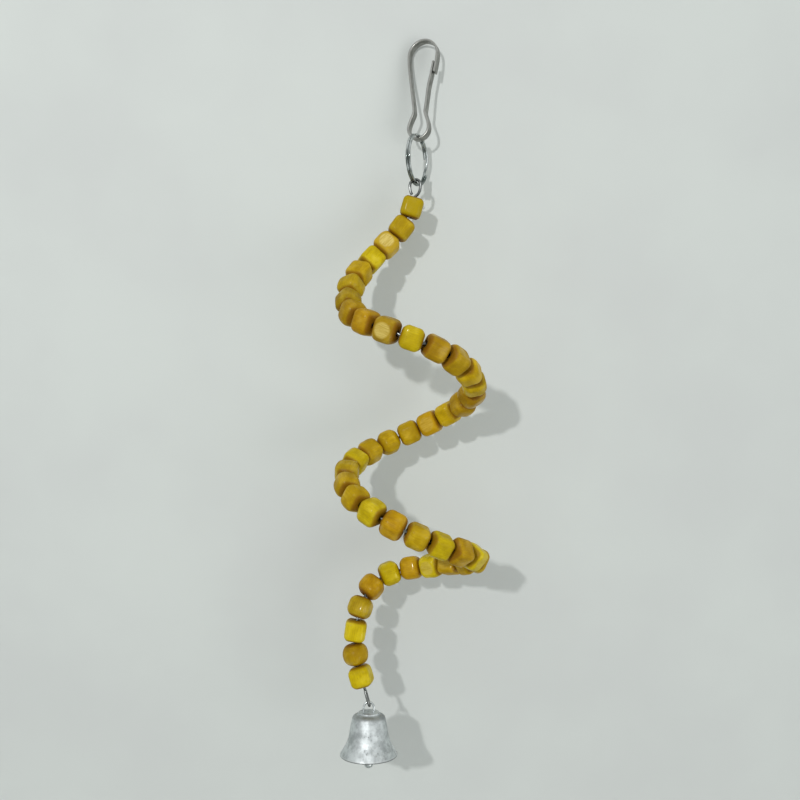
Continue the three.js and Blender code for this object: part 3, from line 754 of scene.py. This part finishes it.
def clip_pieces():
    """The clip: a fixed leg bent over to the hook's tip, and the sprung gate that runs up inside the tip."""
    top_y = STRIP_THICKNESS / 2 - CLIP_TOP_RADIUS * math.cos(math.pi / (2 * CLIP_TOP_FACETS))
    bulb_y = -CLIP_INNER_HEIGHT - STRIP_THICKNESS / 2 + CLIP_BULB_RADIUS
    bulb = (CLIP_BULB_RADIUS, bulb_y)
    waist = (CLIP_WAIST_HALF_WIDTH, -CLIP_WAIST_DROP)
    top = (CLIP_TOP_RADIUS, top_y)
    lower_leg = bend(bulb, WAIST_BEND, waist, -WAIST_BEND / 2, 24)
    upper_leg = bend(waist, WAIST_BEND, top, -LEG_BEND, 48)
    left = np.array([-1, 1])
    tip = upper_leg[upper_leg[:, 1] > -CLIP_TIP_DROP][::-1]
    frame_line = np.vstack([
        arc(bulb_y, CLIP_BULB_RADIUS, GATE_START, -math.pi, 40),
        lower_leg[1:] * left,
        upper_leg[1:] * left,
        arc(top_y, CLIP_TOP_RADIUS, math.pi, 0, 60)[1:],
        tip[1:],
    ])
    rise = eased(upper_leg[:, 1], -CLIP_WAIST_DROP, -CLIP_TIP_DROP - LEG_BEND / 2)
    gate_leg = upper_leg - np.stack([GATE_INSET * rise, 0 * rise], 1)
    gate_line = np.vstack([
        arc(bulb_y, CLIP_BULB_RADIUS, GATE_START, 0, 14),
        lower_leg[1:],
        gate_leg[1:][gate_leg[1:, 1] < -GATE_END_DROP],
    ])
    clip_frame = strip_piece("clip_strip", frame_line, STRIP_FINISH)
    clip_gate = strip_piece("clip_gate", gate_line, STRIP_FINISH)
    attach(clip_frame, "hook")
    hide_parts("hook_frame")
    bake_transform(clip_gate)
    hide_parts("hook_gate")


def ring_piece():
    """The split ring: two turns side by side with one climb between them."""
    angles = np.linspace(RING_CLIMB / 2, 720 - RING_CLIMB / 2, RING_STEPS)
    climb = eased(angles, 360 - RING_CLIMB / 2, 360 + RING_CLIMB / 2)
    turns = np.radians(angles)
    points = (
        np.outer(RING_TURN_PITCH * (climb - 0.5), CLIP_RIGHT)
        + np.outer(RING_RADIUS * np.cos(turns), CLIP_BACK)
        + np.outer(RING_RADIUS * np.sin(turns) - RING_CENTRE_DROP, UP)
    )
    piece = wire_piece("split_ring_wire", points * MM, RING_WIRE, RING_FINISH, RING_SIDES)
    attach(piece, "ring")
    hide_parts("split_ring")


def bead_name(number):
    return f"bead_{number:02d}"


def bead_axes(faces, onward):
    """A bead's direction along the wire and its front flat side, from the faces of its solid."""

    def breadth(face):
        return sum(f.area for f in faces if f.normal.dot(face.normal) > SAME_FACE)

    along = max((f for f in faces if f.normal.dot(onward) > END_FACE), key=breadth).normal
    sides = [f for f in faces if abs(f.normal.dot(along)) < SIDE_FACE]
    widest = max(map(breadth, sides))
    wide = [side.normal for side in sides if breadth(side) > WIDE_SIDE * widest]
    front = min(wide, key=lambda normal: normal.y)
    return along, (front - along * front.dot(along)).normalized()


def bead_places():
    """Each bead's centre, its direction along the wire and its front side."""
    centres = [sum(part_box(bead_name(i + 1)), Vector()) / 2 for i in range(BEAD_COUNT)]
    places = []
    for i, centre in enumerate(centres):
        onward = (centres[min(i + 1, BEAD_COUNT - 1)] - centres[max(i - 1, 0)]).normalized()
        faces = frame["nodes"][bead_name(i + 1)].data.polygons
        along, front = bead_axes(faces, onward)
        places.append((centre, along, front))
    return places


def bead_ends(places):
    """How far each bead reaches back and on along the wire: to its neighbour, or at a hinge as its solid."""
    solid = BEAD_SOLID_LENGTH / 2
    ends = [[solid, solid] for _ in places]
    for i in range(BEAD_COUNT - 1):
        if i + 1 in LAST_BEAD_OF_SECTION:
            continue
        step = (places[i + 1][0] - places[i][0]) / MM
        for bead, end in ((i, 1), (i + 1, 0)):
            lean = math.sin(places[bead][1].angle(step))
            softer = min(ROUNDER_BEADS.get(bead + 1, 0.0), 1.0)
            flat = BEAD_END_FLAT + (ROUND_END_FLAT - BEAD_END_FLAT) * softer
            room = (step.length - BEAD_TOUCH) / 2 - lean * flat
            ends[bead][end] = min(max(room, solid), BEAD_LONGEST / 2)
    return ends


def bead_pieces(places):
    """The beads, each a little different, on the bodies that carry their solids."""
    chance = random.Random(BEAD_SEED)

    def vary(amount):
        return 1 + chance.uniform(-amount, amount)

    carrier = {}
    for body, members in frame["record"]["behaviour"]["bodies"].items():
        for node in members:
            carrier[node] = body
    ends = bead_ends(places)
    for i, (centre, along, front) in enumerate(places):
        number = i + 1
        name = bead_name(number)
        wood = DYES[i] + "_wood"
        softer = ROUNDER_BEADS.get(number, 0.0)
        back, on = ends[i]
        piece = grown(name + "_wood", bpy.data.meshes.new(name), BEAD_TREE, {
            "Width": BEAD_WIDTH * (1 + ROUND_BEAD_SWELL * softer) * vary(0.015),
            "Length": back + on,
            "Edge Cut": (BEAD_EDGE_CUT + ROUND_EDGE_CUT * softer) * vary(0.2),
            "End Cut": (BEAD_END_CUT + ROUND_END_CUT * softer) * vary(0.2),
            "Corner Cut": (BEAD_CORNER_CUT + ROUND_CORNER_CUT * softer) * vary(0.12),
            "Crispness": BEAD_CRISPNESS + ROUND_CRISPNESS * softer + chance.uniform(-2, 2),
            "Bore": BEAD_BORE,
            "Unevenness": BEAD_UNEVENNESS,
            "Seed": chance.random(),
            "Sanded": SANDED_BEADS.get(number, 0.0),
            "Fresh": FRESHER_BEADS.get(number, 0.0),
            "Lighter": LIGHTER_BEADS.get(number, 0.0),
            "Centre": centre + along * (on - back) / 2 * MM,
            "Along": along,
            "Front": front,
            "Finish": WOODS[wood],
        })
        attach(piece, carrier[name])
        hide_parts(name)


def eye(neck, outward, side, width, height):
    """The loop at a wire's end: half an oval from the neck to its widest place, then half a circle."""
    widest = height - width / 2
    angles = np.radians(np.linspace(EYE_FLARE, 360 - EYE_OPENING, EYE_STEPS))
    reach = np.where(np.cos(angles) > 0, widest, width / 2)
    out = EYE_GAP + widest - reach * np.cos(angles)
    return neck + np.outer(out, outward) + np.outer(width / 2 * np.sin(angles), side)


def square_to(direction, side):
    """The side direction, turned square to another direction."""
    side = side - direction * side.dot(direction)
    return side / np.linalg.norm(side)


def threaded_line(centres, alongs):
    """The wire's line from the first bead's centre to the last one's, along each bead's direction."""
    t = np.linspace(0, 1, WIRE_STEPS_PER_BEAD, endpoint=False)[:, None]
    line = []
    for i in range(BEAD_COUNT - 1):
        a = centres[i]
        b = centres[i + 1]
        span = np.linalg.norm(b - a)
        line.append(
            (2 * t**3 - 3 * t**2 + 1) * a + (t**3 - 2 * t**2 + t) * span * alongs[i]
            + (3 * t**2 - 2 * t**3) * b + (t**3 - t**2) * span * alongs[i + 1]
        )
    return np.vstack([*line, centres[-1:]])


def spiral_pieces(places):
    """The wire, as four pieces that join inside beads."""
    centres = np.array([c for c, _, _ in places]) / MM
    alongs = np.array([a for _, a, _ in places])
    line = threaded_line(centres, alongs)
    reach = BEAD_SOLID_LENGTH / 2 + EYE_GAP
    ring_bottom = UP * -(RING_CENTRE_DROP + RING_RADIUS)
    eye_centre = ring_bottom + alongs[0] * RING_RISE_IN_EYE
    outward = eye_centre - (centres[0] - alongs[0] * reach)
    outward /= np.linalg.norm(outward)
    width, height = UPPER_EYE
    neck = eye_centre - outward * (EYE_GAP + height - width / 2)
    upper = eye(neck, outward, square_to(outward, CLIP_RIGHT), width, height)[::-1]
    bottom = centres[-1] + alongs[-1] * reach
    lower = eye(bottom, alongs[-1], square_to(alongs[-1], np.array([0, 1.0, 0])), *LOWER_EYE)
    cuts = [0, *[(number - 1) * WIRE_STEPS_PER_BEAD for number in WIRE_JOINS], len(line) - 1]
    for i, hinge in enumerate(LAST_BEAD_OF_SECTION):
        points = line[cuts[i]:cuts[i + 1] + 1]
        if i == 0:
            points = np.vstack([upper, neck[None], points])
        if i == len(LAST_BEAD_OF_SECTION) - 1:
            points = np.vstack([points, bottom[None], lower])
        piece = wire_piece(f"spiral_wire_{i + 1}", points * MM, WIRE, WIRE_FINISH)
        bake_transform(piece)
        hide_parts("spiral_wire")


def turned_piece(name, profile, in_bell, material, segments):
    """A turned form: a line of (radius, height) that starts and ends on the axis, in millimetres."""
    rings = profile[1:-1]
    angles = np.linspace(0, 2 * math.pi, segments, endpoint=False)
    points = []
    heights = []
    faces = []
    for radius, height in rings:
        for a in angles:
            points.append(in_bell @ Vector((radius * math.cos(a), radius * math.sin(a), height)))
            heights.append(height)
    for i in range(len(rings) - 1):
        for k in range(segments):
            a = i * segments + k
            b = i * segments + (k + 1) % segments
            faces.append((a, b, b + segments, a + segments))
    for ring, height, flip in ((0, profile[0][1], True), (len(rings) - 1, profile[-1][1], False)):
        pole = len(points)
        points.append(in_bell @ Vector((0, 0, height)))
        heights.append(height)
        for k in range(segments):
            a = ring * segments + k
            b = ring * segments + (k + 1) % segments
            faces.append((b, a, pole) if flip else (a, b, pole))
    return mesh_piece(name, points, faces, material, height=heights)


def rounded(radius, height, size, start, stop, count):
    """Points round an edge whose middle is at a radius and a height."""
    angles = np.linspace(start, stop, count)
    return [(radius + size * math.cos(a), height + size * math.sin(a)) for a in angles]


def bell_profile():
    """The bell's line, from the middle of the cap's underside down to the rim and up again outside it."""
    wall = through(BELL_WALL_LINE, 12)
    shoulder = through(BELL_SHOULDER_LINE, 6)[1:]
    rim_radius = BELL_WALL_LINE[0][0]
    step_z = BELL_CAP_TOP - BELL_CAP_STEP
    cap_inside = BELL_CAP_RADIUS - BELL_WALL
    rim = rounded(rim_radius - BELL_RIM_ROUND, BELL_RIM_ROUND, BELL_RIM_ROUND, -math.pi, 0, 9)
    cap_edge = rounded(
        BELL_CAP_RADIUS - BELL_CAP_ROUND, BELL_CAP_TOP - BELL_CAP_ROUND, BELL_CAP_ROUND, 0, math.pi / 2, 6,
    )
    return [
        (0, BELL_CAP_TOP - BELL_WALL),
        (cap_inside, BELL_CAP_TOP - BELL_WALL),
        (cap_inside, step_z - BELL_WALL),
        *[(r - BELL_WALL, z) for r, z in wall[::-1]],
        *rim[1:-1],
        *wall,
        *shoulder,
        (BELL_CAP_RADIUS, step_z + BELL_CAP_FILLET),
        *cap_edge,
        (0, BELL_CAP_TOP),
    ]


def clapper_profile(top):
    """The clapper's line, from its lower end up to its top and down into the socket for its link."""
    pear = through(CLAPPER_LINE, 8) + (0, top - CLAPPER_LENGTH)
    pear[:, 0] = np.maximum(pear[:, 0], 0)
    return [
        *pear,
        (CLAPPER_SOCKET_RADIUS, top),
        (CLAPPER_SOCKET_RADIUS, top - CLAPPER_SOCKET),
        (0, top - CLAPPER_SOCKET),
    ]


def bell_pieces(places):
    """The bell with its staple, and the clapper on the staple's lower bend."""
    pivot = next(Vector(j["pos_m"]) for j in frame["joints"] if j["name"] == "bell_swing")
    crown = pivot - places[-1][1] * STAPLE_PIVOT_RISE * MM
    lean = Matrix.Rotation(-BELL_LEAN, 4, "Y")
    base = crown - lean @ Vector((0, 0, STAPLE_TOP * MM))
    in_bell = Matrix.Translation(base) @ lean @ Matrix.Scale(MM, 4)
    shell = turned_piece("bell_body", bell_profile(), in_bell, BELL_FINISH, BELL_SEGMENTS)
    half = STAPLE_HALF_WIDTH
    loop = np.vstack([
        arc(STAPLE_BOTTOM + half, half, math.pi, 2 * math.pi, 24),
        arc(STAPLE_TOP - half, half, 0, math.pi, 24),
        [[-half, STAPLE_BOTTOM + half + STAPLE_GAP]],
    ])
    loop_line = [in_bell @ Vector((x, 0, z)) for x, z in loop]
    staple = wire_piece("bell_loop", loop_line, STAPLE_WIRE, LOOP_FINISH)
    eye_top = STAPLE_BOTTOM + (STAPLE_WIRE + CLAPPER_WIRE) / 2 + EYE_GAP
    neck = np.array([0, 0, eye_top - CLAPPER_EYE - EYE_GAP])
    link_eye = eye(neck, UP, np.array([0, 1.0, 0]), CLAPPER_EYE, CLAPPER_EYE)[::-1]
    stem_end = neck - UP * CLAPPER_STEM
    link_line = [in_bell @ Vector(p) for p in (*link_eye, neck, stem_end)]
    link = wire_piece("clapper_wire", link_line, CLAPPER_WIRE, LOOP_FINISH)
    weight_line = clapper_profile(stem_end[2] - EYE_GAP + CLAPPER_SOCKET)
    weight = turned_piece("clapper_drop", weight_line, in_bell, LOOP_FINISH, CLAPPER_SEGMENTS)
    for piece, body, node, slot in (
        (shell, "bell", "bell_shell", "bell_metal"),
        (staple, "bell", "bell_staple", "bell_wire"),
        (link, "clapper", "clapper_link", "bell_wire"),
        (weight, "clapper", "clapper_weight", "bell_metal"),
    ):
        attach(piece, body)
        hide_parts(node)


def stage_plane(name, corners, material):
    """A flat piece of the stage."""
    mesh = bpy.data.meshes.new(name)
    mesh.from_pydata(corners, [], [range(len(corners))])
    mesh.materials.append(material)
    plane = placed(name, mesh)


def plaster():
    """Pale paint of the backdrop, seen only from its front."""
    made, nodes = new_material("pale_wall")
    cloud = nodes.noise(nodes.place_in_mm(), 0.012, 3.0)
    colour = nodes.mixed(cloud.step(0.3, 0.7), tone(203, 206, 204), tone(207, 211, 208))
    painted = nodes.add("ShaderNodeBsdfDiffuse", {}, {"Color": colour})
    clear = nodes.add("ShaderNodeBsdfTransparent", {}, {})
    behind = nodes.add("ShaderNodeNewGeometry", {}, {}, out="Backfacing")
    shown = nodes.add("ShaderNodeMixShader", {}, {0: behind, 1: painted, 2: clear})
    nodes.add("ShaderNodeOutputMaterial", {}, {"Surface": shown})
    return made


def lamp(name, place, width, watts):
    """A square lamp that faces the object."""
    light = bpy.data.lights.new(name, "AREA")
    light.size = width
    light.energy = watts
    holder = bpy.data.objects.new(name, light)
    bpy.context.scene.collection.objects.link(holder)
    holder.location = place
    holder.rotation_euler = (Vector(LIT_PLACE) - Vector(place)).to_track_quat("-Z", "Y").to_euler()


def backdrop():
    """The leaning backdrop behind the object and the floor that meets it."""
    paint = plaster()
    foot = BACKDROP_GAP - BACKDROP_LEAN * FLOOR_Z
    top = BACKDROP_GAP - BACKDROP_LEAN * STAGE_HALF
    stage_plane("wall", [
        (-STAGE_HALF, foot, FLOOR_Z),
        (STAGE_HALF, foot, FLOOR_Z),
        (STAGE_HALF, top, STAGE_HALF),
        (-STAGE_HALF, top, STAGE_HALF),
    ], paint)
    stage_plane("floor", [
        (-STAGE_HALF, -STAGE_HALF, FLOOR_Z),
        (STAGE_HALF, -STAGE_HALF, FLOOR_Z),
        (STAGE_HALF, foot, FLOOR_Z),
        (-STAGE_HALF, foot, FLOOR_Z),
    ], paint)


def lighting():
    """The lamps, and the even light from all round."""
    for name, values in LAMPS.items():
        lamp(name, **values)
    world = bpy.data.worlds.new("room")
    world.use_nodes = True
    background = world.node_tree.nodes["Background"]
    background.inputs["Color"].default_value = EVEN_LIGHT_TINT
    background.inputs["Strength"].default_value = EVEN_LIGHT
    bpy.context.scene.world = world


def viewpoint():
    """The camera, with its two directions made square to each other."""
    scene = bpy.context.scene
    scene.view_settings.view_transform = "Standard"
    camera = bpy.data.objects.new("camera", bpy.data.cameras.new("camera"))
    scene.collection.objects.link(camera)
    forward = Vector(CAMERA_FORWARD).normalized()
    right = Vector(CAMERA_RIGHT)
    right = (right - forward * right.dot(forward)).normalized()
    turned = Matrix((right, right.cross(forward), -forward)).transposed().to_4x4()
    camera.matrix_world = Matrix.Translation(Vector(CAMERA_PLACE) * MM) @ turned
    camera.data.sensor_width = CAMERA_SENSOR
    camera.data.lens = CAMERA_LENS
    camera.data.clip_start = CAMERA_NEAREST
    camera.data.clip_end = CAMERA_FARTHEST
    scene.camera = camera


bead_set = bead_places()
clip_pieces()
ring_piece()
spiral_pieces(bead_set)
bead_pieces(bead_set)
bell_pieces(bead_set)
backdrop()
lighting()
viewpoint()
